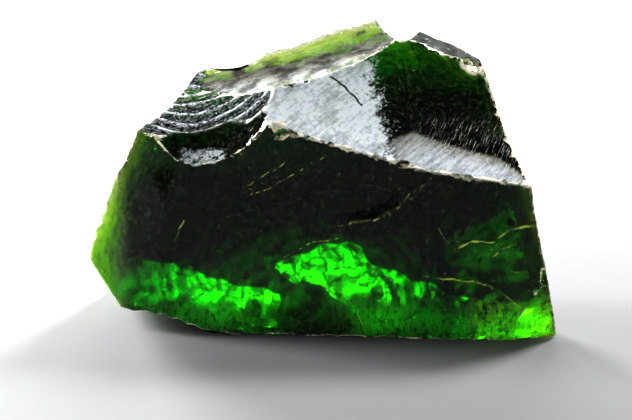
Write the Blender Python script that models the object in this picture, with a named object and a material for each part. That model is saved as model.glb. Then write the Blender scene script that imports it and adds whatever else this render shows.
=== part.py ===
"""Obsidian chunk: one solid lump of natural glass, struck off a larger piece.

A block loses everything outside each break. A break is a curved sheet in its own frame: u runs across,
v runs up it and n points out of the stone. Breaks are written in millimetres, the finished solid is in metres.
X runs along the 82 mm length, -Y is the tall dark front, +Z is up and the flat underside rests on Z = 0.
"""
import math
from dataclasses import dataclass

import bmesh
import bpy
from mathutils import Vector, noise

MM = 0.001
BLOCK_SIZE = (96.0, 70.0, 62.0)   # rough lump that the breaks are struck from
CENTRE = Vector((-0.70, 2.59, 0.0))  # middle of the finished chunk's box, which becomes X = Y = 0
BREAK_DEPTH = 90.0                # how far each break reaches outwards, past the lump
PITCH = 2.2                       # distance between the points of a plain break
RIDGE_END = 6.0                   # length over which a ridge runs out at its ends


@dataclass
class Break:
    """One break: where it lies, which way it faces and the shape of its face."""
    name: str
    point: tuple
    outward: tuple
    reach: tuple                  # half length along u and v
    up: tuple = (0, 0, 1)
    dish: tuple = None            # depth, half width, half height of a hollow
    bend: tuple = (0, 0, 0)       # u*u, u*v and v*v curvature
    ripples: tuple = ()           # rings round the blow that struck the flake
    ridges: tuple = ()            # low lines that cross the face
    swell: tuple = (0.4, 11, 1.0) # height, size and seed of the uneven ground
    pitch: float = PITCH


@dataclass
class Ripples:
    """Rings that spread over a break from the blow."""
    centre: tuple
    first: float
    last: float
    spacing: float
    height: float
    squash: float = 1.0


@dataclass
class Ridge:
    """A low ridge that runs through the points of a line on a break."""
    points: tuple
    height: float
    half_width: float


@dataclass
class Chip:
    """A small hollow knocked out of an edge."""
    name: str
    centre: tuple
    radii: tuple


FRONT_RIDGES = (
    Ridge(((-19.8, 10.7), (-11.3, 16.0)), 0.35, 3.0),
    Ridge(((-19.3, 8.6), (-11.5, 12.8), (-3.5, 17.1)), 0.4, 3.0),
    Ridge(((-3.6, 4.4), (3.2, 5.0), (8.5, 8.2), (14.2, 14.5)), 0.45, 3.2),
    Ridge(((17.2, 0.7), (23.0, 3.0), (31.5, 5.2)), 0.5, 3.2),
    Ridge(((12.2, -3.9), (23.5, -4.9), (28.0, -8.0)), 0.45, 3.2),
)
BREAKS = [
    Break("front", (5, -14.2, 15), (-0.088, -0.996, 0.027), (60, 50),
          dish=(0.8, 48, 26), swell=(0.5, 14, 1.3), ridges=FRONT_RIDGES, pitch=1.5),
    Break("left_front", (-33, -7.2, 24.9), (-0.47, -0.881, 0.055), (45, 50),
          dish=(-0.7, 22, 26), swell=(0.5, 9, 5.3)),
    Break("left_back", (-33, 3, 27.9), (-0.85, 0.33, 0.41), (50, 60),
          dish=(0.8, 25, 28), ripples=(Ripples((8, 16), 9, 60, 6.5, 0.3),), swell=(0.6, 10, 7.7)),
    Break("nose", (-41.4, -3, 14), (-0.99, -0.10, 0.08), (30, 40), swell=(0.3, 7, 6.4)),
    Break("nose_under", (-39, -5, 7.6), (-0.85, -0.15, -0.50), (30, 40),
          swell=(0.5, 7, 10.4)),
    Break("left_under", (-24, -10, 1.6), (-0.22, -0.10, -0.97), (50, 50), up=(0, 1, 0),
          swell=(0.6, 8, 9.1)),
    Break("right", (36, -9.6, 21.6), (0.964, 0.196, 0.178), (55, 55),
          dish=(0.9, 25, 30), swell=(0.5, 10, 11.7)),
    Break("top_hollow", (10.4, -9.2, 37.1), (0.16, -0.635, 0.755), (60, 45),
          dish=(1.6, 30, 17), swell=(0.35, 12, 13.3), pitch=1.8),
    Break("top_bowl", (-22, -2.3, 37.6), (-0.218, -0.367, 0.905), (40, 40), up=(0, 1, 0),
          bend=(0.0185, 0.0077, 0.005), ripples=(Ripples((2, 12.5), 4, 24, 2.9, 0.5),),
          swell=(0.35, 9, 15.5), pitch=1.0),
    Break("bowl_lip", (-20.5, -10.2, 33.5), (-0.13, -0.77, 0.62), (11, 8),
          dish=(1.4, 6.6, 7), swell=(0.2, 4, 15.9), pitch=1.2),
    Break("top_trough", (1, 6.5, 45.9), (-0.25, -0.46, 0.855), (36, 24), up=(0, 1, 0),
          bend=(0.004, 0, 0.0416), swell=(0.35, 7, 16.2), pitch=1.3),
    Break("back_up", (-4, 11.5, 48), (-0.10, 0.96, 0.26), (60, 55),
          dish=(0.6, 34, 30), ripples=(Ripples((-12, 8), 12, 80, 7.5, 0.35),), swell=(0.8, 12, 17.9)),
    Break("back_right", (19.5, 11.1, 48.1), (0.35, 0.87, 0.35), (60, 60),
          swell=(0.7, 12, 18.4)),
    Break("saddle", (14.0, 10, 48.9), (0.05, 0.10, 0.99), (9, 14), up=(0, 1, 0),
          bend=(0.15, 0, 0), swell=(0.2, 5, 18.8), pitch=1.2),
    Break("crest_bevel", (21.6, 3.7, 46.5), (0.33, -0.30, 0.90), (9, 16), up=(0, 1, 0),
          swell=(0.4, 4, 19.0), pitch=1.3),
    Break("rim_hollow", (-16.4, 8.5, 43.3), (-0.14, -0.15, 0.98), (9, 10), up=(0, 1, 0),
          bend=(0.05, 0, 0.01), swell=(0.2, 4, 20.6), pitch=1.3),
    Break("back_low", (2, 9, 8), (0.02, 0.80, -0.60), (48, 26),
          dish=(4.6, 20, 16), swell=(0.5, 8, 19.1), ripples=(Ripples((0, -8), 3, 24, 2.8, 0.3),)),
    Break("back_low_right", (33, 2, 10), (0.45, 0.80, -0.38), (26, 24),
          dish=(3.6, 16, 16), swell=(0.5, 8, 21.3)),
    Break("corner_low", (36, -16.9, 5), (0.30, -0.93, -0.20), (14, 12),
          dish=(0.8, 10, 9), swell=(0.2, 5, 22.1), pitch=1.5),
]
CHIPS = [
    Chip("front_edge", (-6.6, -14.9, 37.9), (3.9, 3.5, 3.4)),
    Chip("crest_corner", (27.8, 4.4, 46.6), (3.2, 3.0, 2.8)),
    Chip("right_edge", (38.7, -18.3, 11.4), (2.2, 2.2, 2.9)),
    Chip("right_shoulder", (37.6, -17.5, 26.9), (2.0, 2.2, 2.4)),
    Chip("bowl_corner", (-30.3, -10.1, 36.5), (2.0, 2.4, 2.2)),
]


def axes_of(outward, up):
    """The u, v and n directions of a break."""
    n = Vector(outward).normalized()
    v = Vector(up) - Vector(up).dot(n) * n
    v.normalize()
    return v.cross(n), v, n


def ring_height(u, v, rings):
    """Depth below the sheet of the rings round a blow: a slow rise and a steep fall."""
    across = u - rings.centre[0]
    along = (v - rings.centre[1]) * rings.squash
    wobble = 0.5 * rings.spacing * noise.noise(Vector((u * 0.12, v * 0.12, 3.1)))
    distance = math.hypot(across, along) + wobble
    if distance <= rings.first or distance >= rings.last:
        return 0.0
    turn = ((distance - rings.first) / rings.spacing) % 1.0
    wave = turn / 0.7 if turn < 0.7 else (1.0 - turn) / 0.3
    fade_in = min(1.0, (distance - rings.first) / rings.spacing)
    fade_out = min(1.0, (rings.last - distance) / rings.spacing)
    return -rings.height * fade_in * fade_out * (0.5 - 0.5 * math.cos(math.pi * wave))


def ridge_height(u, v, ridge):
    """Height of a ridge at u, v; it runs out to nothing at both ends."""
    spot = Vector((u, v))
    points = [Vector(point) for point in ridge.points]
    shortest = math.inf
    for start, end in zip(points, points[1:]):
        run = end - start
        share = min(1.0, max(0.0, (spot - start).dot(run) / run.dot(run)))
        shortest = min(shortest, (spot - start - share * run).length)
    near = max(0.0, 1.0 - shortest / ridge.half_width)
    end_distance = min((spot - points[0]).length, (spot - points[-1]).length)
    return ridge.height * near * near * (3.0 - 2.0 * near) * min(1.0, end_distance / RIDGE_END)


def relief(u, v, brk):
    """Height of a break over its flat sheet at u, v."""
    height = brk.bend[0] * u * u + brk.bend[1] * u * v + brk.bend[2] * v * v
    if brk.dish:
        depth, half_width, half_height = brk.dish
        height -= depth * (1.0 - (u / half_width) ** 2 - (v / half_height) ** 2)
    for rings in brk.ripples:
        height += ring_height(u, v, rings)
    for ridge in brk.ridges:
        height += ridge_height(u, v, ridge)
    size, spread, seed = brk.swell
    return height + size * noise.noise(Vector((u / spread, v / spread, seed)))


def mesh_object(name, bm, collection):
    """Turns a bmesh into an object in the collection."""
    mesh = bpy.data.meshes.new(name)
    bm.to_mesh(mesh)
    bm.free()
    made = bpy.data.objects.new(name, mesh)
    collection.objects.link(made)
    return made


def break_cutter(brk, collection):
    """Everything outside one break, as a closed body with the break as its inner side."""
    u_axis, v_axis, n_axis = axes_of(brk.outward, brk.up)
    half_u, half_v = brk.reach
    bm = bmesh.new()
    bmesh.ops.create_grid(
        bm,
        x_segments=math.ceil(2 * half_u / brk.pitch),
        y_segments=math.ceil(2 * half_v / brk.pitch),
        size=1.0,
    )
    for vert in bm.verts:
        u, v = vert.co.x * half_u, vert.co.y * half_v
        vert.co = (u, v, relief(u, v, brk))
    border = [edge for edge in bm.edges if edge.is_boundary]
    wall = bmesh.ops.extrude_edge_only(bm, edges=border)["geom"]
    for item in wall:
        if isinstance(item, bmesh.types.BMVert):
            item.co.z = BREAK_DEPTH
    rim = [item for item in wall if isinstance(item, bmesh.types.BMEdge) and item.is_boundary]
    bmesh.ops.contextual_create(bm, geom=rim)
    bmesh.ops.recalc_face_normals(bm, faces=bm.faces)
    origin = Vector(brk.point) - CENTRE
    for vert in bm.verts:
        vert.co = (origin + u_axis * vert.co.x + v_axis * vert.co.y + n_axis * vert.co.z) * MM
    cutter = mesh_object("cut_" + brk.name, bm, collection)
    cutter.hide_render = True
    cutter.display_type = "WIRE"
    return cutter


def chip_cutter(chip, collection):
    """The round bite of one chip."""
    bm = bmesh.new()
    bmesh.ops.create_icosphere(bm, subdivisions=3, radius=1.0)
    centre = Vector(chip.centre) - CENTRE
    for vert in bm.verts:
        rough = 1.0 + 0.12 * noise.noise(vert.co * 2.0 + centre)
        vert.co = (centre + Vector(c * r * rough for c, r in zip(vert.co, chip.radii))) * MM
    cutter = mesh_object("cut_" + chip.name, bm, collection)
    cutter.hide_render = True
    cutter.display_type = "WIRE"
    return cutter


def rough_block(collection):
    """The lump before any flake is struck off; its underside is the flat the chunk rests on."""
    bm = bmesh.new()
    bmesh.ops.create_cube(bm, size=1.0)
    for vert in bm.verts:
        x, y, z = (vert.co[i] * BLOCK_SIZE[i] for i in range(3))
        vert.co = (x * MM, y * MM, (z + BLOCK_SIZE[2] / 2) * MM)
    return mesh_object("chunk", bm, collection)


def glass_material():
    """Dark green natural glass."""
    material = bpy.data.materials.new("green_glass")
    material.use_nodes = True
    shader = material.node_tree.nodes["Principled BSDF"]
    shader.inputs["Base Color"].default_value = (0.02, 0.16, 0.03, 1.0)
    shader.inputs["Roughness"].default_value = 0.08
    shader.inputs["Metallic"].default_value = 0.0
    return material


def collection_named(name):
    """A new collection in the scene."""
    made = bpy.data.collections.new(name)
    bpy.context.scene.collection.children.link(made)
    return made


def clear_scene():
    """Takes out whatever the file starts with."""
    for item in list(bpy.data.objects):
        bpy.data.objects.remove(item)


def strike(chunk, cutter):
    """Takes the cutter's body off the chunk; the EXACT solver loses the stone at some of the breaks."""
    cut = chunk.modifiers.new(cutter.name, "BOOLEAN")
    cut.operation = "DIFFERENCE"
    cut.solver = "MANIFOLD"
    cut.object = cutter


def build():
    """Makes the chunk: the block, less every break and then every chip."""
    clear_scene()
    chunk = rough_block(collection_named("obsidian_chunk"))
    cutters = collection_named("cutters")
    for brk in BREAKS:
        strike(chunk, break_cutter(brk, cutters))
    for chip in CHIPS:
        strike(chunk, chip_cutter(chip, cutters))
    chunk.data.materials.append(glass_material())
    return chunk


build()
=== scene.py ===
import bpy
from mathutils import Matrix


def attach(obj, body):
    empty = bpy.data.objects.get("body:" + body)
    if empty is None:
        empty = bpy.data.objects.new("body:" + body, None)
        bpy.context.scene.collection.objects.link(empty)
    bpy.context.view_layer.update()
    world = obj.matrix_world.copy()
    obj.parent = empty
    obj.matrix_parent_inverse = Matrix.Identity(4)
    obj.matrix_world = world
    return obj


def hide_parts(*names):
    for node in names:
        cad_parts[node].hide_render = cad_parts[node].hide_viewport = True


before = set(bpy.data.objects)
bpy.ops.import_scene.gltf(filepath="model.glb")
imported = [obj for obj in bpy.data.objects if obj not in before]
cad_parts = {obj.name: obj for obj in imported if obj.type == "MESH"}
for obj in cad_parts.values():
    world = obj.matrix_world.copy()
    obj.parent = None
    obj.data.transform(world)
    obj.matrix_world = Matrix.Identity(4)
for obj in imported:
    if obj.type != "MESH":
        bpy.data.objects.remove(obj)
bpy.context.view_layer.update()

import math
import random
from dataclasses import dataclass

import bmesh
import bpy
from mathutils import Quaternion, Vector, bvhtree, kdtree, noise

# The stone is worked in millimetres in the same breaks as the solid, then set down in metres.
MM = 0.001
CENTRE = Vector((-0.70, 2.59, 0.0))
LUMP_LOW, LUMP_HIGH = Vector((-43.5, -18.5, 0.0)), Vector((42.5, 24.5, 54.5))
BREAK_DEPTH = 90.0
# A ridge sinks to nothing over this much at either end.
RIDGE_END = 6.0
PITCH = 0.55


@dataclass
class Break:
    """One struck face: where it lies, which way it faces and how its ground runs.

    v runs toward up, and reach is half its length along u and v. dish is a hollow's depth, half width and
    half height. bend is what u*u, u*v and v*v add. swell is the height, spread and seed of its long
    waves, rough the height of its broken ground and the spread of that across and up. fineness is its
    share of the usual pitch.
    """
    name: str
    point: tuple
    outward: tuple
    reach: tuple
    up: tuple = (0, 0, 1)
    dish: tuple = None
    bend: tuple = (0, 0, 0)
    ripples: tuple = ()
    ridges: tuple = ()
    swell: tuple = (0.4, 11, 1.0)
    rough: tuple = None
    fineness: float = 1.0


@dataclass
class Ripples:
    """Rings that spread over a break from the blow."""
    centre: tuple
    first: float
    last: float
    spacing: float
    height: float


@dataclass
class Ridge:
    """A low line across a break."""
    points: tuple
    height: float
    half_width: float


@dataclass
class Chip:
    """A small hollow knocked out of an edge."""
    centre: tuple
    radii: tuple


# Low ridges on the front, in its own u and v.
FRONT_RIDGES = (
    Ridge(((-19.8, 10.7), (-11.3, 16.0)), 0.14, 3.0),
    Ridge(((-19.3, 8.6), (-11.5, 12.8), (-3.5, 17.1)), 0.16, 3.0),
    Ridge(((-3.6, 4.4), (3.2, 5.0), (8.5, 8.2), (14.2, 14.5)), 0.18, 3.2),
    Ridge(((17.2, 0.7), (23.0, 3.0), (31.5, 5.2)), 0.2, 3.2),
    Ridge(((12.2, -3.9), (23.5, -4.9), (28.0, -8.0)), 0.18, 3.2),
)
BREAKS = [
    Break("front", (5, -14.2, 15), (-0.088, -0.996, 0.027), (60, 50),
          dish=(0.8, 48, 26), swell=(0.5, 14, 1.3), ridges=FRONT_RIDGES),
    Break("left_front", (-33, -7.2, 24.9), (-0.47, -0.881, 0.055), (45, 50),
          dish=(-0.7, 22, 26), swell=(0.5, 9, 5.3)),
    Break("left_back", (-32.93, 3, 27.9), (-0.85, 0.33, 0.41), (50, 60),
          dish=(0.8, 25, 28), ripples=(Ripples((8, 16), 9, 60, 6.5, 0.3),),
          rough=(0.35, 4.0, 7.0), swell=(0.6, 10, 7.7)),
    Break("nose", (-41.27, -3, 14), (-0.99, -0.10, 0.08), (30, 40),
          rough=(0.5, 2.5, 4.0), swell=(0.3, 7, 6.4)),
    Break("nose_under", (-38.9, -5, 7.6), (-0.85, -0.15, -0.50), (30, 40),
          rough=(0.6, 3.0, 4.0), swell=(0.5, 7, 10.4)),
    Break("left_under", (-24, -10, 1.6), (-0.22, -0.10, -0.97), (50, 50), up=(0, 1, 0),
          rough=(0.7, 3.0, 5.0), swell=(0.6, 8, 9.1)),
    Break("right", (36, -9.6, 21.6), (0.964, 0.196, 0.178), (55, 55),
          dish=(0.9, 25, 30), rough=(0.2, 4.0, 4.0), swell=(0.5, 10, 11.7)),
    Break("top_hollow", (10.4, -9.2, 37.1), (0.16, -0.635, 0.755), (60, 45),
          dish=(1.6, 30, 17), swell=(0.35, 12, 13.3)),
    Break("top_bowl", (-22, -2.3, 37.6), (-0.218, -0.367, 0.905), (40, 40), up=(0, 1, 0),
          bend=(0.0185, 0.0077, 0.005), ripples=(Ripples((2, 12.5), 4, 24, 2.9, 0.5),),
          swell=(0.35, 9, 15.5), fineness=0.7),
    Break("bowl_lip", (-20.5, -10.2, 33.5), (-0.13, -0.77, 0.62), (11, 8),
          dish=(1.4, 6.6, 7), swell=(0.2, 4, 15.9)),
    Break("top_trough", (1, 6.5, 45.9), (-0.25, -0.46, 0.855), (36, 24), up=(0, 1, 0),
          bend=(0.004, 0, 0.0416), swell=(0.35, 7, 16.2)),
    Break("back_up", (-4, 11.3, 48), (-0.10, 0.96, 0.26), (60, 55),
          dish=(0.6, 34, 30), ripples=(Ripples((-12, 8), 12, 80, 7.5, 0.12),),
          rough=(0.4, 5.0, 5.0), swell=(0.8, 12, 17.9)),
    Break("back_right", (19.5, 10.9, 48.1), (0.35, 0.87, 0.35), (60, 60),
          rough=(0.25, 5.0, 5.0), swell=(0.7, 12, 18.4)),
    Break("saddle", (14.0, 10, 48.9), (0.05, 0.10, 0.99), (9, 14), up=(0, 1, 0),
          bend=(0.15, 0, 0), rough=(0.3, 2.0, 2.0), swell=(0.2, 5, 18.8)),
    Break("crest_bevel", (21.6, 3.7, 46.5), (0.33, -0.30, 0.90), (9, 16), up=(0, 1, 0),
          rough=(0.3, 2.0, 2.0), swell=(0.4, 4, 19.0)),
    Break("rim_hollow", (-16.4, 8.5, 43.3), (-0.14, -0.15, 0.98), (9, 10), up=(0, 1, 0),
          bend=(0.05, 0, 0.01), swell=(0.2, 4, 20.6)),
    Break("back_low", (2, 9, 8), (0.02, 0.80, -0.60), (48, 26),
          dish=(4.6, 20, 16), ripples=(Ripples((0, -8), 3, 24, 2.8, 0.12),),
          rough=(1.4, 4.2, 8.0), swell=(0.5, 8, 19.1)),
    Break("back_low_right", (33, 2, 10), (0.45, 0.80, -0.38), (26, 24),
          dish=(3.6, 16, 16), rough=(0.8, 3.0, 5.0), swell=(0.5, 8, 21.3)),
    Break("corner_low", (36, -16.9, 5), (0.30, -0.93, -0.20), (14, 12),
          dish=(0.8, 10, 9), rough=(0.3, 2.5, 3.0), swell=(0.2, 5, 22.1)),
    Break("bed", (0, 0, 0.16), (0, 0, -1), (60, 45), up=(0, 1, 0),
          rough=(0.7, 3.5, 4.5), swell=(0.12, 7, 23.7)),
]
CREST_CHIP = Chip((27.8, 4.4, 46.6), (3.2, 3.0, 2.8))
CHIPS = [
    Chip((-6.6, -14.9, 37.9), (3.9, 3.5, 3.4)),
    CREST_CHIP,
    Chip((38.7, -18.3, 11.4), (2.2, 2.2, 2.9)),
    Chip((37.6, -17.5, 26.9), (2.0, 2.2, 2.4)),
    Chip((-30.3, -10.1, 36.5), (2.0, 2.4, 2.2)),
]
# Fine bright cracks on the front: strength, then the points the crack runs through.
FRONT_CRACKS = (
    (0.6, ((-14.9, -12.2, 25.7), (-12.6, -12.4, 26.8), (-9.6, -12.6, 28.7), (-6.4, -12.8, 31.0))),
    (0.5, ((-14.4, -12.2, 24.0), (-9.3, -12.6, 26.2), (-1.5, -13.2, 30.8), (1.4, -13.4, 32.5))),
    (1.0, ((1.4, -13.8, 19.4), (9.7, -14.4, 21.1), (14.6, -14.9, 24.2), (19.3, -15.1, 29.5))),
    (0.8, ((11.6, -14.5, 21.5), (14.8, -14.8, 25.6), (17.8, -15.0, 27.6))),
    (1.3, ((22.2, -15.7, 15.7), (25.8, -15.9, 17.4), (28.6, -16.2, 17.2), (33.1, -16.5, 20.0),
           (37.0, -16.9, 20.2))),
    (0.8, ((28.6, -16.0, 14.3), (30.8, -16.1, 16.1), (32.6, -16.3, 16.9))),
    (1.0, ((16.9, -15.2, 10.9), (22.0, -15.8, 10.7), (28.5, -16.3, 9.8), (32.4, -16.6, 7.2),
           (35.2, -16.9, 5.0))),
    (0.7, ((30.2, -16.4, 11.7), (32.6, -16.7, 12.3), (35.4, -17.0, 11.6))),
    (0.5, ((11.0, -14.4, 28.5), (14.0, -14.7, 25.0))),
    (0.5, ((19.4, -15.2, 19.6), (22.4, -15.5, 15.8))),
    (0.6, ((-24.4, -11.2, 20.8), (-25.2, -11.1, 18.4), (-26.1, -11.0, 15.8))),
    (0.5, ((-8.6, -12.9, 12.9), (-2.6, -13.4, 16.4), (3.6, -13.9, 17.6))),
    (0.5, ((-1.0, -13.9, 9.6), (4.6, -14.3, 6.3), (7.2, -14.6, 1.6))),
)
# Where the pale band of dust and painted sheen along the foot of the top hollow ends, in the hollow's own u
# and v.
STRIP_TOP = ((-2.3, -6.0), (1.5, -2.6), (5.3, -1.3), (11.7, -5.0), (19.0, -8.8), (23.6, -15.9))
# The back carries a dark crust, a painted shade that keeps the glass dark, but for two clear places low on
# it: their tops as x and z, and the left side of the middle one as z and x.
CLEAR_TOP = ((-9, 9), (-2.5, 12.3), (4.5, 13.3), (8, 11.5), (11, 9.6), (16, 7.5), (22, 6), (28, 4.5),
             (40, 4.5))
CLEAR_LEFT = ((0, 6.5), (2.7, 4.5), (5.6, -1), (9, -9), (13, -9))
CLEAR_LEFT_TOP = ((-40, 13), (-33, 9.5), (-22, 7.2), (-10, 5.5), (-6, 4))
# A dark jagged step that runs into the sheen, in the same u and v.
GROOVE = ((-6.9, 11.6), (-5.1, 9.4), (-2.7, 5.4))
# A brown stain at the right shoulder.
STAIN = (Vector((35.6, -16.6, 26.2)) - CENTRE) * MM
# Edges sharper than this carry nicks and a pale rim.
EDGE_ANGLE = math.radians(35)
SMOOTH_ANGLE = math.radians(30)
SHORTEST_EDGE = 0.02
NICKS_PER_MM = 0.75
NICK_BATCHES = 5
NICK_SEED = 11
LARGEST_NICK = 1.3
# Without a seed the vector noise, which the cracks and the edge of the shading crust wander by, differs each
# run.
NOISE_SEED = 7
# A nick is looked for this near an edge, and is marked in full at this depth.
NICK_REACH, NICK_DEPTH = 2.5, 0.06
CREST_CHIP_REACH = 3.2
# How near a break's own surface a point has to be to lie on it, and how far off its flat it may be.
ON_BREAK, OFF_FLAT = 0.25, 15
# What the surface carries, as numbers and as the nearest place of a line.
MARKS = ("wear", "crack_strength", "sheen", "strip", "scratched", "ring", "bowl", "frost", "bevel", "fin",
         "nick", "tip", "bruise", "shade_crust", "haze")
LINES = ("rim", "crack", "groove")

# Glass: the share of each colour that it lets through, and how dense it is.
GLASS_IOR = 1.49
GLASS_COLOUR, GLASS_DENSITY = (0.71, 0.872, 0.0, 1.0), 1400.0
BRUISED_COLOUR = (1.0, 1.0, 0.8, 1.0)
# Colours of what lies on the glass: powder, frosty white for dust and the painted sheen, lime for the
# painted glow of the left tip and right foot, yellow for the cracks and the painted glow along them, a
# stain, the dark crust that paints shade on the back, and the dark facets.
CREAM, FROSTY_AND_SHEEN_WHITE, LIME = (1.0, 0.93, 0.70, 1), (0.90, 0.95, 1.0, 1), (0.36, 1.0, 0.05, 1)
CRACK_YELLOW, STAIN_BROWN = (0.75, 1.0, 0.10, 1), (0.36, 0.11, 0.03, 1)
SHADE_CRUST_GREEN, SHADE_CRUST_BLACK = (0.014, 0.018, 0.012, 1), (0.006, 0.007, 0.006, 1)
FACET_DARK = (0.012, 0.016, 0.012, 1)
SPECKS_PER_METRE = 620.0

GROUND_COLOUR = (0.16, 0.16, 0.165, 1.0)
GROUND_HALF_SIDE = 1.5
GROUND_DROP = 0.0002
WORLD_COLOUR = (0.05, 0.053, 0.06, 1.0)
# Each lamp panel: its name, direction from the stone, distance, width, height and power.
LAMPS = (
    ("key", (0.466, 0.561, 0.683), 0.8, 0.23, 0.23, 10.0),
    ("low_back", (0.085, 1.0, 0.06), 1.0, 0.50, 0.16, 13.0),
    ("low_left", (-0.44, 0.9, 0.10), 1.0, 0.30, 0.18, 38.0),
    ("left", (-0.84, 0.27, 0.47), 0.6, 0.22, 0.22, 5.5),
    ("front_fill", (-0.35, -0.8, 0.5), 0.8, 0.4, 0.4, 1.7),
)
LAMP_AIM = Vector((0, 0, 0.02))

# The photograph's view: the camera's height and distance, where it aims, and how large the stone shows.
CAMERA_ELEVATION = math.radians(12)
CAMERA_DISTANCE = 380
CAMERA_AIM = Vector((-1.38, -14.0, 22.6))
PIXELS_PER_MM = 5.8
PICTURE_WIDTH = 632
SENSOR_WIDTH = 36
NEAREST_SEEN = 0.01


def axes_of(outward, up):
    """The u, v and n directions of a break."""
    n = Vector(outward).normalized()
    v = Vector(up) - Vector(up).dot(n) * n
    v.normalize()
    return v.cross(n), v, n


def ring_distance(u, v, rings):
    """Distance from the blow, swayed so that the rings aren't true circles."""
    sway = 0.5 * rings.spacing * noise.noise(Vector((u * 0.12, v * 0.12, 3.1)))
    return math.hypot(u - rings.centre[0], v - rings.centre[1]) + sway


def ring_height(u, v, rings):
    """Depth of the rings round a blow: a slow rise and a steep fall."""
    distance = ring_distance(u, v, rings)
    if distance <= rings.first or distance >= rings.last:
        return 0.0
    turn = ((distance - rings.first) / rings.spacing) % 1.0
    wave = turn / 0.7 if turn < 0.7 else (1.0 - turn) / 0.3
    fade_in = min(1.0, (distance - rings.first) / rings.spacing)
    fade_out = min(1.0, (rings.last - distance) / rings.spacing)
    return -rings.height * fade_in * fade_out * (0.5 - 0.5 * math.cos(math.pi * wave))


def ridge_height(u, v, ridge):
    """Height of a ridge at u, v; it runs out to nothing at both ends."""
    spot = Vector((u, v))
    points = [Vector(point) for point in ridge.points]
    shortest = math.inf
    for start, end in zip(points, points[1:]):
        run = end - start
        share = min(1.0, max(0.0, (spot - start).dot(run) / run.dot(run)))
        shortest = min(shortest, (spot - start - share * run).length)
    if shortest > ridge.half_width:
        return 0.0
    near = 1.0 - shortest / ridge.half_width
    end_distance = min((spot - points[0]).length, (spot - points[-1]).length)
    return ridge.height * near * near * (3.0 - 2.0 * near) * min(1.0, end_distance / RIDGE_END)


def shattered(u, v, rough, seed):
    """Sharp crests with round valleys between, and smaller waves on them."""
    size, across, along = rough
    height = 0.0
    for octave in range(3):
        share = 0.45 ** octave
        spot = Vector((u / (across * share), v / (along * share), seed + 3.7 * octave))
        value = noise.noise(spot)
        height += size * share * (0.25 - abs(value) if octave == 0 else 0.6 * value)
    return height


def relief(u, v, brk):
    """Height of a break over its flat sheet at u, v."""
    height = brk.bend[0] * u * u + brk.bend[1] * u * v + brk.bend[2] * v * v
    if brk.dish:
        depth, half_width, half_height = brk.dish
        height -= depth * (1.0 - (u / half_width) ** 2 - (v / half_height) ** 2)
    for rings in brk.ripples:
        height += ring_height(u, v, rings)
    for ridge in brk.ridges:
        height += ridge_height(u, v, ridge)
    size, spread, seed = brk.swell
    height += size * noise.noise(Vector((u / spread, v / spread, seed)))
    if brk.rough:
        height += shattered(u, v, brk.rough, seed)
    return height


def mesh_object(name, bm):
    """Turns a bmesh into an object in the scene."""
    mesh = bpy.data.meshes.new(name)
    bm.to_mesh(mesh)
    bm.free()
    made = bpy.data.objects.new(name, mesh)
    bpy.context.scene.collection.objects.link(made)
    return made


def on_stone(brk, u_axis, v_axis):
    """The span of u and v that the lump can reach on a break."""
    corners = [Vector((x, y, z)) - Vector(brk.point)
               for x in (LUMP_LOW.x, LUMP_HIGH.x) for y in (LUMP_LOW.y, LUMP_HIGH.y)
               for z in (LUMP_LOW.z, LUMP_HIGH.z)]
    across = [corner.dot(u_axis) for corner in corners]
    along = [corner.dot(v_axis) for corner in corners]
    half_u, half_v = brk.reach
    return (max(-half_u, min(across) - 1), min(half_u, max(across) + 1),
            max(-half_v, min(along) - 1), min(half_v, max(along) + 1))


def break_cutter(brk):
    """Everything outside one break, as a closed body with the break as its inner side."""
    u_axis, v_axis, n_axis = axes_of(brk.outward, brk.up)
    u_low, u_high, v_low, v_high = on_stone(brk, u_axis, v_axis)
    pitch = PITCH * brk.fineness
    bm = bmesh.new()
    bmesh.ops.create_grid(
        bm,
        x_segments=math.ceil((u_high - u_low) / pitch),
        y_segments=math.ceil((v_high - v_low) / pitch),
        size=1.0,
    )
    for vert in bm.verts:
        u = u_low + (vert.co.x + 1) / 2 * (u_high - u_low)
        v = v_low + (vert.co.y + 1) / 2 * (v_high - v_low)
        vert.co = (u, v, relief(u, v, brk))
    border = [edge for edge in bm.edges if edge.is_boundary]
    wall = bmesh.ops.extrude_edge_only(bm, edges=border)["geom"]
    for item in wall:
        if isinstance(item, bmesh.types.BMVert):
            item.co.z = BREAK_DEPTH
    rim = [item for item in wall if isinstance(item, bmesh.types.BMEdge) and item.is_boundary]
    bmesh.ops.contextual_create(bm, geom=rim)
    bmesh.ops.recalc_face_normals(bm, faces=bm.faces)
    origin = Vector(brk.point) - CENTRE
    for vert in bm.verts:
        vert.co = (origin + u_axis * vert.co.x + v_axis * vert.co.y + n_axis * vert.co.z) * MM
    return mesh_object("cut_" + brk.name, bm)


def chip_cutter(chip):
    """The rough round bite of one chip."""
    bm = bmesh.new()
    subdivisions = 4
    centre = Vector(chip.centre) - CENTRE
    for vert in bmesh.ops.create_icosphere(bm, subdivisions=subdivisions, radius=1.0)["verts"]:
        rough = 1.0 + 0.12 * noise.noise(vert.co * 2.0 + centre)
        vert.co = (centre + Vector(c * r * rough for c, r in zip(vert.co, chip.radii))) * MM
    return mesh_object("cut_chip", bm)


def rough_lump():
    """The lump before any flake is struck off."""
    bm = bmesh.new()
    bmesh.ops.create_cube(bm, size=1.0)
    for vert in bm.verts:
        share = vert.co + Vector((0.5, 0.5, 0.5))
        spot = Vector(low + s * (high - low) for low, s, high in zip(LUMP_LOW, share, LUMP_HIGH))
        vert.co = (spot - CENTRE) * MM
    return mesh_object("stone", bm)


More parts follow.
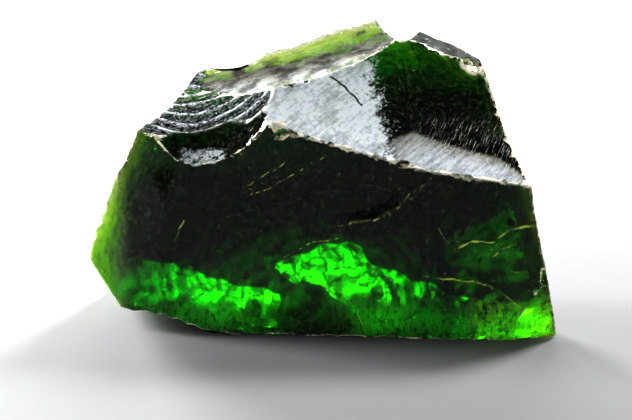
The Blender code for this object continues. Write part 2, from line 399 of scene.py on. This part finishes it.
def strike(stone, cutter):
    """Takes the cutter's body off the stone and throws the cutter away."""
    cut = stone.modifiers.new(cutter.name, "BOOLEAN")
    cut.operation = "DIFFERENCE"
    cut.solver = "MANIFOLD"
    cut.object = cutter
    bpy.context.view_layer.update()
    left = bpy.data.meshes.new_from_object(stone.evaluated_get(bpy.context.evaluated_depsgraph_get()))
    stone.modifiers.clear()
    before = stone.data
    stone.data = left
    bpy.data.meshes.remove(before)
    shape = cutter.data
    bpy.data.objects.remove(cutter)
    bpy.data.meshes.remove(shape)


def struck_stone():
    """The chunk with all its breaks and chips at full fineness."""
    stone = rough_lump()
    for brk in BREAKS:
        strike(stone, break_cutter(brk))
    for chip in CHIPS:
        strike(stone, chip_cutter(chip))
    return stone


def edge_chips(stone, rng):
    """Nicks the sharp edges with small round bites, a batch at a time."""
    bm = bmesh.new()
    bm.from_mesh(stone.data)
    bm.normal_update()
    sharp = [edge for edge in bm.edges
             if len(edge.link_faces) == 2 and edge.is_convex
             and edge.calc_face_angle() > EDGE_ANGLE and edge.calc_length() > SHORTEST_EDGE * MM]
    spots = []
    for edge in sharp:
        middle = (edge.verts[0].co + edge.verts[1].co) / 2
        outward = (edge.link_faces[0].normal + edge.link_faces[1].normal).normalized()
        chance = NICKS_PER_MM * edge.calc_length() / MM * edge_wear(middle / MM + CENTRE)
        if rng.random() < chance:
            spots.append((middle.copy(), outward.copy()))
    bm.free()
    rng.shuffle(spots)
    batches = [[] for _ in range(NICK_BATCHES)]
    for middle, outward in spots:
        size = rng.uniform(0.35, 1.0) ** 2.0 * LARGEST_NICK * MM
        radii = [size * rng.uniform(0.7, 1.4) for _ in range(3)]
        centre = middle + outward * min(radii) * rng.uniform(0.55, 0.8)
        for batch in batches:
            if all((centre - other).length > max(radii) + reach for other, reach, _ in batch):
                batch.append((centre, max(radii) * 1.15, radii))
                break
    for batch in batches:
        if not batch:
            continue
        bm = bmesh.new()
        for centre, _, radii in batch:
            made = bmesh.ops.create_icosphere(bm, subdivisions=2, radius=1.0)["verts"]
            turn = Quaternion(Vector((rng.gauss(0, 1), rng.gauss(0, 1), rng.gauss(0, 1))), rng.uniform(0, 6))
            for vert in made:
                rough = 1.0 + 0.22 * noise.noise(vert.co * 1.4 + centre * 900)
                vert.co = centre + turn @ Vector(c * r * rough for c, r in zip(vert.co, radii))
        strike(stone, mesh_object("cut_nicks", bm))


def edge_wear(spot):
    """How battered an edge is at a place: most along the front top edge and the right side."""
    wear = 0.18
    if spot.y < -8 and spot.z > 22:
        wear = 1.0
        if spot.x < -9:
            wear = 0.55 if spot.z > 34 else 0.35
    if spot.x > 24 and spot.z > 4:
        wear = max(wear, 1.0 if spot.z > 24 else 0.7)
    if spot.z > 40:
        wear = max(wear, 0.5)
    if spot.x < -35 and 6 < spot.z < 26:
        wear = max(wear, 0.6)
    if spot.x > 6 and spot.z < 2 and spot.y < -8:
        wear = max(wear, 0.5)
    return wear


def wandering(points, step, sway, seed):
    """Close-set points along a crooked line through the given ones."""
    path = [Vector(point) for point in points]
    spots = []
    for start, end in zip(path, path[1:]):
        count = max(1, int((end - start).length / step))
        spots += [start.lerp(end, i / count) for i in range(count)]
    spots.append(path[-1])
    return [spot + sway * noise.noise_vector(spot * 0.55 + Vector((seed, 0, 0)))
            + 0.4 * sway * noise.noise_vector(spot * 2.1 + Vector((seed, 5, 0))) for spot in spots]


def crack_spots():
    """Points of every fine crack on the front, each with its strength, which fades at both ends."""
    spots = []
    for number, (strength, points) in enumerate(FRONT_CRACKS):
        line = wandering(points, 0.1, 0.35, number * 7.3)
        for i, spot in enumerate(line):
            share = i / (len(line) - 1)
            spots.append((spot, strength * min(1.0, 8 * share, 8 * (1 - share))))
    return spots


def between(low, high, value):
    """0 below low, 1 above high, smooth between."""
    share = min(1.0, max(0.0, (value - low) / (high - low)))
    return share * share * (3 - 2 * share)


def on_line(points, at):
    """Height of a bent line at a place along it."""
    for (x0, y0), (x1, y1) in zip(points, points[1:]):
        if at <= x1:
            return y0 + (y1 - y0) * (at - x0) / (x1 - x0)
    return points[-1][1]


def shade_crust_at(x, z):
    """How far the dark crust on the back, a painted shade, shuts the light out at a place."""
    sway = noise.noise_vector(Vector((x * 0.3, z * 0.3, 8.8)))
    x, z = x + 2.0 * sway.x, z + 1.6 * sway.z
    middle = between(-0.5, 0.7, on_line(CLEAR_TOP, x) - z) * between(-0.6, 0.6, x - on_line(CLEAR_LEFT, z))
    left = between(-0.5, 0.7, on_line(CLEAR_LEFT_TOP, x) - z) * between(-7.0, -8.5, x)
    top = 24.5 + 14 * between(4, 12, x)
    return max(0.1, 1.0 - max(middle, left)) * between(top + 4.5, top - 4.5, z)


def seat(brk, spot, normal):
    """u and v of a spot that lies on a break, or nothing when it lies elsewhere."""
    u_axis, v_axis, n_axis = axes_of(brk.outward, brk.up)
    offset = spot - Vector(brk.point)
    if abs(offset.dot(n_axis)) > OFF_FLAT or normal.dot(n_axis) < 0.15:
        return None
    u, v = offset.dot(u_axis), offset.dot(v_axis)
    if abs(offset.dot(n_axis) - relief(u, v, brk)) > ON_BREAK:
        return None
    return u, v


def sharp_edges(stone):
    """Both ends of every sharp edge, and a tree of their middles."""
    bm = bmesh.new()
    bm.from_mesh(stone.data)
    bm.normal_update()
    ends = [tuple(vert.co.copy() for vert in edge.verts) for edge in bm.edges
            if len(edge.link_faces) == 2 and edge.calc_face_angle(0) > EDGE_ANGLE]
    bm.free()
    tree = kdtree.KDTree(len(ends))
    for number, (start, end) in enumerate(ends):
        tree.insert((start + end) / 2, number)
    tree.balance()
    return ends, tree


def skin_of(stone):
    """The surface as it is now, to measure from later."""
    bm = bmesh.new()
    bm.from_mesh(stone.data)
    skin = bvhtree.BVHTree.FromBMesh(bm)
    bm.free()
    return skin


def nearest_on(edge, place):
    """The point of an edge that lies nearest a place."""
    start, end = edge
    run = end - start
    share = (place - start).dot(run) / max(run.dot(run), 1e-12)
    return start + run * min(1.0, max(0.0, share))


def haze_at(spot):
    """How cloudy the front is: most along its foot, but for a dark notch left of the middle."""
    notch = between(-18, -14, spot.x) * between(2, -3, spot.x)
    feet = max(between(2, 8, spot.x), between(-15, -18, spot.x)) * between(8, 4, spot.z)
    return 0.10 + (0.55 - 0.4 * notch + 0.35 * feet) * between(9.5, 2.5, spot.z)


def body_marks(spot, normal):
    """Marks that go by place alone: the left tip and the right foot, where lime powder paints the glow of
    light through the glass, and the frosted sides.
    """
    nose = between(-33, -38, spot.x)
    left_side = 0.7 * between(-0.6, -0.8, normal.x)
    return {
        "tip": between(-33.0, -39.5, spot.x + 0.05 * abs(spot.z - 18)) * between(0.3, 0.0, normal.y),
        "bruise": between(24, 27, spot.x) * between(8, 5, spot.z) * between(-0.5, -0.8, normal.y),
        "frost": max(between(-0.05, 0.35, -normal.z), nose, left_side),
    }


def hollow_marks(u, v):
    """The sheen, partly dust and partly a painted sheen, the pale strip of dust and painted sheen, and the
    scratches of the top hollow.
    """
    edge = 1.5 * noise.noise(Vector((u * 0.3, v * 0.3, 1.7)))
    depth = on_line(STRIP_TOP, u) - v
    return {
        "sheen": between(-4.5, 7.0, 1.8 - u + edge),
        "strip": between(-0.3, 0.3, depth) * between(-4, 4, u) * (0.55 + 0.45 * between(0, 4, depth)),
        "scratched": between(4, 9, u) * between(-1.5, 2.5, 1.5 - v),
    }


def face_marks(spot, normal, faces):
    """What any other break adds to the spots that lie on it."""
    bowl = faces["top_bowl"]
    place = seat(bowl, spot, normal)
    if place:
        rings = bowl.ripples[0]
        return {"ring": (ring_distance(*place, rings) - rings.first) / rings.spacing, "bowl": 1.0}
    if seat(faces["bowl_lip"], spot, normal):
        # The lip carries the hollow's pale dust with its painted sheen.
        pale = between(34.0, 31.5, spot.z) * between(-28, -24, spot.x) * between(-14, -18, spot.x)
        return {"sheen": 0.55 * pale}
    if seat(faces["crest_bevel"], spot, normal) or seat(faces["saddle"], spot, normal):
        return {"bevel": 1.0}
    place = seat(faces["top_trough"], spot, normal)
    if place:
        return {"fin": 0.4 + 0.6 * between(1.5, -4.0, place[1])}
    # Back faces carry the dark crust that paints shade on the back.
    if spot.z < 45 and normal.y > 0.25:
        return {"shade_crust": shade_crust_at(spot.x, spot.z) * between(-36, -32, spot.x)}
    return {}


def wear_marks(stone, whole, sharp, tree):
    """Writes what the surface carries as attributes of its points."""
    mesh = stone.data
    bm = bmesh.new()
    bm.from_mesh(mesh)
    bm.normal_update()
    cracks = crack_spots()
    crack_tree = kdtree.KDTree(len(cracks))
    for number, (spot, _) in enumerate(cracks):
        crack_tree.insert((spot - CENTRE) * MM, number)
    crack_tree.balance()
    faces = {brk.name: brk for brk in BREAKS}
    hollow = faces["top_hollow"]
    u_way, v_way, _ = axes_of(hollow.outward, hollow.up)
    groove = wandering([(*place, 0.0) for place in GROOVE], 0.1, 0.5, 4.1)
    marks = {name: [0.0] * len(bm.verts) for name in MARKS}
    nearest = {name: [Vector()] * len(bm.verts) for name in LINES}
    for vert in bm.verts:
        i = vert.index
        spot = vert.co / MM + CENTRE
        here = body_marks(spot, vert.normal)
        middle, number, _ = tree.find(vert.co)
        nearest["rim"][i] = nearest_on(sharp[number], vert.co)
        # Rims are marked wider where their faces look up: a painted highlight from light above.
        lit = 0.3 + 0.7 * between(0.0, 0.4, vert.normal.z)
        here["wear"] = edge_wear(middle / MM + CENTRE) * lit
        if vert.normal.y < -0.6:
            place, number, _ = crack_tree.find(vert.co)
            nearest["crack"][i] = Vector((place.x, vert.co.y, place.z))
            here["crack_strength"] = cracks[number][1]
            here["haze"] = haze_at(spot)
        if (vert.co - middle).length < NICK_REACH * MM:
            here["nick"] = between(0.0, NICK_DEPTH, whole.find_nearest(vert.co)[3] / MM)
        if (spot - Vector(CREST_CHIP.centre)).length < CREST_CHIP_REACH:
            here["nick"] = 1.0
        place = seat(hollow, spot, vert.normal)
        if place:
            u, v = place
            here.update(hollow_marks(u, v))
            if (Vector((u, v)) - Vector(GROOVE[1])).length < 6:
                close = min(groove, key=lambda point: (point.x - u) ** 2 + (point.y - v) ** 2)
                nearest["groove"][i] = vert.co + ((close.x - u) * u_way + (close.y - v) * v_way) * MM
        else:
            here.update(face_marks(spot, vert.normal, faces))
        for name, value in here.items():
            marks[name][i] = value
    bm.free()
    for name, values in marks.items():
        mesh.attributes.new(name, "FLOAT", "POINT").data.foreach_set("value", values)
    for name, places in nearest.items():
        flat = [number for place in places for number in place]
        mesh.attributes.new(name, "FLOAT_VECTOR", "POINT").data.foreach_set("vector", flat)


def put_in(node, key, value):
    """Links a value to a node's socket, or sets the socket's own value."""
    if isinstance(value, Value):
        node.id_data.links.new(value.socket, node.inputs[key])
    else:
        node.inputs[key].default_value = value


class Value:
    """One output socket of a material, with Python's arithmetic on it."""

    def __init__(self, socket):
        self.socket = socket

    def node(self, kind, settings=None, inputs=None, out=0):
        """Any other node: its settings first, then the values or links of its sockets."""
        made = self.socket.id_data.nodes.new(kind)
        for name, setting in (settings or {}).items():
            setattr(made, name, setting)
        for key, value in (inputs or {}).items():
            put_in(made, key, value)
        return Value(made.outputs[out])

    def sum_of(self, operation, first, second):
        return self.node("ShaderNodeMath", {"operation": operation}, {0: first, 1: second})

    def __add__(self, other):
        return self.sum_of("ADD", self, other)

    def __sub__(self, other):
        return self.sum_of("SUBTRACT", self, other)

    def __rsub__(self, other):
        return self.sum_of("SUBTRACT", other, self)

    def __mul__(self, other):
        return self.sum_of("MULTIPLY", self, other)

    __radd__ = __add__
    __rmul__ = __mul__

    def most(self, *others):
        """The greatest of this and the others."""
        greatest = self
        for other in others:
            greatest = self.sum_of("MAXIMUM", greatest, other)
        return greatest

    def least(self, other):
        return self.sum_of("MINIMUM", self, other)

    def part_of_turn(self):
        return self.sum_of("FRACT", self, 0.0)

    def step(self, low, high):
        """0 below low and 1 above high, smooth between."""
        return self.node("ShaderNodeMapRange", {"interpolation_type": "SMOOTHSTEP"},
                         {"Value": self, "From Min": low, "From Max": high})

    def away_from(self, place):
        """Distance between two places, in millimetres."""
        gap = self.node("ShaderNodeVectorMath", {"operation": "DISTANCE"}, {0: self, 1: place}, "Value")
        return gap * 1000.0

    def along(self, direction):
        """How far the place lies along a direction, in millimetres."""
        far = self.node("ShaderNodeVectorMath", {"operation": "DOT_PRODUCT"},
                        {0: self, 1: direction}, "Value")
        return far * 1000.0

    def drawn_out(self, share, other, other_share):
        """A place made of this measure and another, each drawn in to its share, for long grains."""
        return self.node("ShaderNodeCombineXYZ", {},
                         {"X": self * (share * MM), "Y": other * (other_share * MM)})

    def grain(self, size, detail=2.0, roughness=0.5):
        """Noise between 0 and 1 with grains of a size in millimetres."""
        return self.node("ShaderNodeTexNoise", {},
                         {"Vector": self, "Scale": 1000.0 / size, "Detail": detail,
                          "Roughness": roughness})

    def read(self, name, out="Fac"):
        """What the points of the mesh carry under a name."""
        return self.node("ShaderNodeAttribute", {"attribute_name": name}, out=out)

    def colour(self, shade):
        """A plain colour."""
        made = self.node("ShaderNodeRGB")
        made.socket.default_value = shade
        return made

    def blend(self, other, share):
        """This colour mixed with another by a share."""
        return self.node("ShaderNodeMix", {"data_type": "RGBA"}, {0: share, 6: self, 7: other}, 2)


class Skin:
    """A place on the stone, and the noises that all its marks draw from."""

    def __init__(self, place):
        self.place = place
        self.coarse = place.grain(2.6, 4.0, 0.6)
        self.blotches = place.grain(0.9, 6.0, 0.75)
        self.fine = place.grain(0.5, 3.0, 0.65)
        level, steep = place.along((0.87, 0.0, 0.5)), place.along((-0.5, 0.0, 0.87))
        self.fibre = level.drawn_out(0.18, steep, 1.2).grain(0.6, 4.0, 0.7)
        tall = place.node("ShaderNodeVectorMath", {"operation": "MULTIPLY"}, {0: place, 1: (1.0, 1.0, 0.5)})
        self.hazy = (tall.grain(0.7, 4.0, 0.65) * 0.6 + self.blotches * 0.4).step(0.36, 0.62)

    def read(self, name):
        """What the points of the mesh carry under a name."""
        return self.place.read(name)

    def gap_to(self, line):
        """Distance to the nearest place of a line, in millimetres."""
        return self.place.away_from(self.place.read(line, "Vector"))


def rim_powder(skin):
    """Broken powder along the sharp edges, as wide as each is worn, and wider where the faces look up, a
    painted highlight.
    """
    width = skin.read("wear") * (0.15 + 1.15 * skin.coarse.step(0.38, 0.66))
    return 1.0 - (skin.gap_to("rim") + (skin.fine - 0.5) * 0.9).step(0.3 * width, width)


def cracks_and_halo(skin):
    """The fine cracks of the front, and how bruised the glass is on and beside them."""
    gap, strength = skin.gap_to("crack"), skin.read("crack_strength")
    width = strength * (0.07 + 0.17 * skin.coarse.step(0.4, 0.7))
    crack = 1.0 - (gap + (skin.fine - 0.5) * 0.2).step(0.4 * width, width + 0.02)
    halo = (1.0 - (gap + (skin.fine - 0.5) * 1.2).step(0.05, 0.75)) * strength * 0.45
    return crack, halo.most(strength.least(1.0) * crack)


def hollow_dust_and_sheen(skin):
    """On the top hollow: where dust and a painted sheen lie, then that sheen, its pale strip of dust and
    painted sheen, and its scratches.
    """
    coarse, fine, blotches, fibre = skin.coarse, skin.fine, skin.blotches, skin.fibre
    dust_and_sheen_cover = (skin.read("sheen") * 1.6 - 0.50 + (coarse - 0.5) * 1.1 + (blotches - 0.5) * 1.3
               + (fine - 0.5) * 1.1 + (fibre - 0.5) * 0.8).step(0.0, 0.6)
    patchy = skin.place.grain(7.0, 2.0).step(0.36, 0.60)
    sheen = dust_and_sheen_cover * (0.28 + 0.32 * blotches.step(0.34, 0.62) + 0.25 * fibre.step(0.38, 0.60)
                       + 0.30 * patchy).least(1.0)
    sheen = sheen * (0.25 + 0.75 * (fine + dust_and_sheen_cover * 0.5).step(0.38, 0.62))
    sheen = sheen * (skin.gap_to("groove") + (fine - 0.5) * 0.4).step(0.06, 0.30)
    strip = skin.read("strip") * (0.30 + 0.20 * (fine * 0.6 + blotches * 0.5).step(0.42, 0.62)
                                  + 0.32 * fibre.step(0.36, 0.62))
    lie, across = skin.place.along((0.5, 0.0, 0.87)), skin.place.along((0.87, 0.0, -0.5))
    streaks = lie.drawn_out(0.14, across + (coarse - 0.5) * 0.35, 2.2)
    scratches = streaks.grain(0.30, 3.0, 0.7).step(0.57, 0.66) * skin.read("scratched") * (0.3 + fine)
    return dust_and_sheen_cover, sheen, strip, scratches


def bowl_dust_and_sheen(skin):
    """On the bowl: dust and a painted highlight on the crest of each ring, finer ruffles between them and a
    thin film of painted sheen.
    """
    coarse, fine, blotches = skin.coarse, skin.fine, skin.blotches
    ring = skin.read("ring") + (coarse - 0.5) * 0.45
    turn = ring.part_of_turn()
    crest = (1.0 - turn.step(0.0, 0.34)).most(turn.step(0.86, 0.97))
    crest = crest * (coarse * 0.5 + fine * 0.6 + blotches * 0.5).step(0.66, 0.98)
    ruffle = (ring * 4.0 + coarse * 1.6).part_of_turn().step(0.45, 0.95)
    ruffle = ruffle * (fine - 0.40).step(0.0, 0.22) * 0.4
    film = (blotches * 0.6 + fine * 0.5).step(0.50, 0.72) * 0.28
    return crest.most(ruffle, film) * skin.read("bowl")


def fin_powder(skin):
    """On the fin: mottling combed along it."""
    run, rise = skin.place.along((0.96, 0.0, 0.29)), skin.place.along((-0.29, 0.0, 0.96))
    combed = run.drawn_out(0.3, rise, 1.2).grain(1.2, 4.0, 0.65)
    return (0.14 + 0.34 * (combed * 0.8 + skin.fine * 0.2).step(0.40, 0.60)) * skin.read("fin")


def specks(skin):
    """Pale specks that come and go in patches."""
    cell = skin.place.node("ShaderNodeTexVoronoi", {},
                           {"Vector": skin.place, "Scale": SPECKS_PER_METRE, "Randomness": 1.0})
    size = (skin.coarse - 0.45).step(0.0, 0.3) * 0.16
    return 1.0 - cell.step(size * 0.5, size + 0.002)


def painted_glow_and_speck_powder(skin):
    """A thin lime powder that paints the glow of light through the left tip and the right foot, and a trace
    of it all over the front.
    """
    tip = skin.read("tip") * (0.08 + 0.30 * skin.hazy)
    foot = skin.read("bruise") * (skin.hazy * 0.5 + skin.fine.step(0.4, 0.65) * 0.5).step(0.3, 0.9)
    trace = skin.read("haze").step(0.0, 0.05) * (skin.fine * 0.5 + skin.blotches * 0.5).step(0.50, 0.66)
    return tip.most(foot * 0.65, trace * 0.10)


def shade_crust_cover(skin):
    """Dark crust that paints shade on the back, with a ragged edge, and thin veins that run on a little past
    it.
    """
    shade_crust = skin.read("shade_crust")
    patch = (shade_crust * 2.0 - 0.45 + (skin.coarse - 0.5) * 1.3 + (skin.blotches - 0.5) * 1.1
             + (skin.fine - 0.5) * 0.5).step(0.0, 0.45)
    swirl = skin.place.grain(3.4, 2.0) - 0.5
    veins = (1.0 - swirl.most(0.0 - swirl).step(0.012, 0.045)) * shade_crust.step(0.02, 0.08)
    return (patch * 0.95).most(veins * 0.75)


def mixed(share, under, over):
    """Two surfaces mixed by the share of the upper one."""
    both = under.id_data.nodes.new("ShaderNodeMixShader")
    put_in(both, 0, share)
    under.id_data.links.new(under.outputs[0], both.inputs[1])
    under.id_data.links.new(over.outputs[0], both.inputs[2])
    return both


def glass_material():
    """Green see-through glass, mixed with bruised glass, and on top dust with a painted sheen, lime and
    yellow paint for the glow of light through the tip, foot and cracks, and a dark crust that paints shade
    on the back.
    """
    material = bpy.data.materials.new("green_glass")
    material.use_nodes = True
    tree = material.node_tree
    skin = Skin(Value(tree.nodes.new("ShaderNodeTexCoord").outputs["Object"]))
    coarse, fine, blotches = skin.coarse, skin.fine, skin.blotches
    frost, bowl, bevel = skin.read("frost"), skin.read("bowl"), skin.read("bevel")

    rim = rim_powder(skin)
    crack, bruised = cracks_and_halo(skin)
    dust_and_sheen_cover, sheen, strip, scratches = hollow_dust_and_sheen(skin)
    painted_glow_and_specks, shade_crust = painted_glow_and_speck_powder(skin), shade_crust_cover(skin)
    nicked = skin.read("nick") * skin.read("wear") * (fine * 0.6 + blotches * 0.5).step(0.46, 0.66)
    stain = 1.0 - (skin.place.away_from(STAIN) + (fine - 0.5) * 0.8).step(0.5, 0.9)
    cloudy = (0.25 + 1.2 * (skin.hazy * 0.6 + coarse * 0.5).step(0.3, 0.8)).least(1.0)
    bruised = bruised.most(skin.read("tip") * (0.35 + 0.6 * skin.hazy), skin.read("haze") * cloudy)
    dust_and_painted_light = rim.most(sheen * 0.95, strip * 0.9, scratches * 0.85, bowl_dust_and_sheen(skin) * 0.9,
                      specks(skin) * 0.7, fin_powder(skin), nicked * 0.85, crack * 0.9, painted_glow_and_specks,
                      bevel * 0.93, shade_crust, stain * 0.9)

    # Frosty white where dust and the painted sheen lie, cream elsewhere.
    dust_and_sheen_share = dust_and_sheen_cover.step(0.0, 0.15).most(skin.read("strip"), scratches, bowl, skin.read("fin") * 0.8, bevel)
    tint = skin.place.colour(CREAM).blend(FROSTY_AND_SHEEN_WHITE, dust_and_sheen_share * (1.0 - rim * 0.7))
    # Lime paints the glow of light through the left tip and right foot; yellow paints the cracks with the
    # glow of light through them.
    tint = tint.blend(LIME, painted_glow_and_specks.step(0.0, 0.2)).blend(CRACK_YELLOW, crack)
    # The crust's dark colour is painted shade on the back.
    shade_crust_colour = skin.place.colour(SHADE_CRUST_GREEN).blend(SHADE_CRUST_BLACK, blotches)
    tint = tint.blend(shade_crust_colour, shade_crust.step(0.0, 0.3) * (1.0 - rim)).blend(STAIN_BROWN, stain)
    tint = tint.blend(FACET_DARK, bevel * (1.0 - blotches.step(0.56, 0.74)))

    bumps = skin.place.node("ShaderNodeBump", {}, {
        "Strength": 0.35, "Distance": 0.0004,
        "Height": fine * (0.06 + frost * 0.5 + bowl * 0.25) + coarse * (0.1 + frost * 0.5)}, "Normal")
    glass = tree.nodes["Principled BSDF"]
    put_in(glass, "Base Color", (1.0, 1.0, 1.0, 1.0))
    put_in(glass, "Transmission Weight", 1.0)
    put_in(glass, "IOR", GLASS_IOR)
    put_in(glass, "Roughness", 0.02 + frost * 0.6 * coarse + sheen * 0.30 + strip * 0.25 + bowl * 0.12
           + bevel * 0.4)
    put_in(glass, "Normal", bumps)
    bruise = tree.nodes.new("ShaderNodeBsdfPrincipled")
    put_in(bruise, "Base Color", BRUISED_COLOUR)
    put_in(bruise, "Transmission Weight", 1.0)
    put_in(bruise, "IOR", GLASS_IOR)
    put_in(bruise, "Roughness", 0.75)
    dust_and_painted_light_surface = tree.nodes.new("ShaderNodeBsdfPrincipled")
    put_in(dust_and_painted_light_surface, "Base Color", tint)
    put_in(dust_and_painted_light_surface, "Roughness", 0.85)
    put_in(dust_and_painted_light_surface, "Specular IOR Level", 0.2)
    soak = tree.nodes.new("ShaderNodeVolumeAbsorption")
    put_in(soak, "Color", GLASS_COLOUR)
    put_in(soak, "Density", GLASS_DENSITY)

    output = tree.nodes["Material Output"]
    surface = mixed(dust_and_painted_light, mixed(bruised, glass, bruise), dust_and_painted_light_surface)
    tree.links.new(surface.outputs[0], output.inputs["Surface"])
    tree.links.new(soak.outputs["Volume"], output.inputs["Volume"])
    return material


def floor_material():
    """Pale matte ground."""
    material = bpy.data.materials.new("pale_ground")
    material.use_nodes = True
    shader = material.node_tree.nodes["Principled BSDF"]
    put_in(shader, "Base Color", GROUND_COLOUR)
    put_in(shader, "Roughness", 0.9)
    return material


def ground():
    """Wide pale floor under the stone."""
    bm = bmesh.new()
    bmesh.ops.create_grid(bm, x_segments=1, y_segments=1, size=GROUND_HALF_SIDE)
    made = mesh_object("ground", bm)
    made.location.z = -GROUND_DROP
    made.data.materials.append(floor_material())


def softbox(name, direction, distance, width, height, power):
    """A soft light panel that looks at the stone from a direction."""
    lamp = bpy.data.lights.new(name, "AREA")
    lamp.shape = "RECTANGLE"
    lamp.energy = power
    lamp.size = width
    lamp.size_y = height
    made = bpy.data.objects.new(name, lamp)
    bpy.context.scene.collection.objects.link(made)
    toward = Vector(direction).normalized()
    made.location = toward * distance + LAMP_AIM
    made.rotation_euler = toward.to_track_quat("Z", "Y").to_euler()


def studio_light():
    """A key high on the right behind, two low panels behind, one on the left and a weak fill in front."""
    for lamp in LAMPS:
        softbox(*lamp)
    world = bpy.data.worlds.new("studio")
    world.use_nodes = True
    put_in(world.node_tree.nodes["Background"], "Color", WORLD_COLOUR)
    bpy.context.scene.world = world
    bpy.context.scene.view_settings.view_transform = "Standard"
    bpy.context.scene.view_settings.look = "High Contrast"


def photo_camera():
    """The camera at the photograph's place: level with the long side and a little above."""
    back = Vector((0, -math.cos(CAMERA_ELEVATION), math.sin(CAMERA_ELEVATION)))
    lens = bpy.data.cameras.new("photo_camera")
    lens.sensor_width = SENSOR_WIDTH
    lens.lens = PIXELS_PER_MM * CAMERA_DISTANCE / PICTURE_WIDTH * SENSOR_WIDTH
    lens.clip_start = NEAREST_SEEN
    made = bpy.data.objects.new("photo_camera", lens)
    bpy.context.scene.collection.objects.link(made)
    made.location = (CAMERA_AIM - CENTRE + back * CAMERA_DISTANCE) * MM
    made.rotation_euler = back.to_track_quat("Z", "Y").to_euler()
    bpy.context.scene.camera = made


noise.seed_set(NOISE_SEED)
photo_camera()
studio_light()
ground()
stone = struck_stone()
edges = sharp_edges(stone)
whole = skin_of(stone)
edge_chips(stone, random.Random(NICK_SEED))
wear_marks(stone, whole, *edges)
stone.data.materials.clear()
stone.data.materials.append(glass_material())
for face in stone.data.polygons:
    face.use_smooth = True
stone.data.set_sharp_from_angle(angle=SMOOTH_ANGLE)
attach(stone, "root")
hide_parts("chunk")
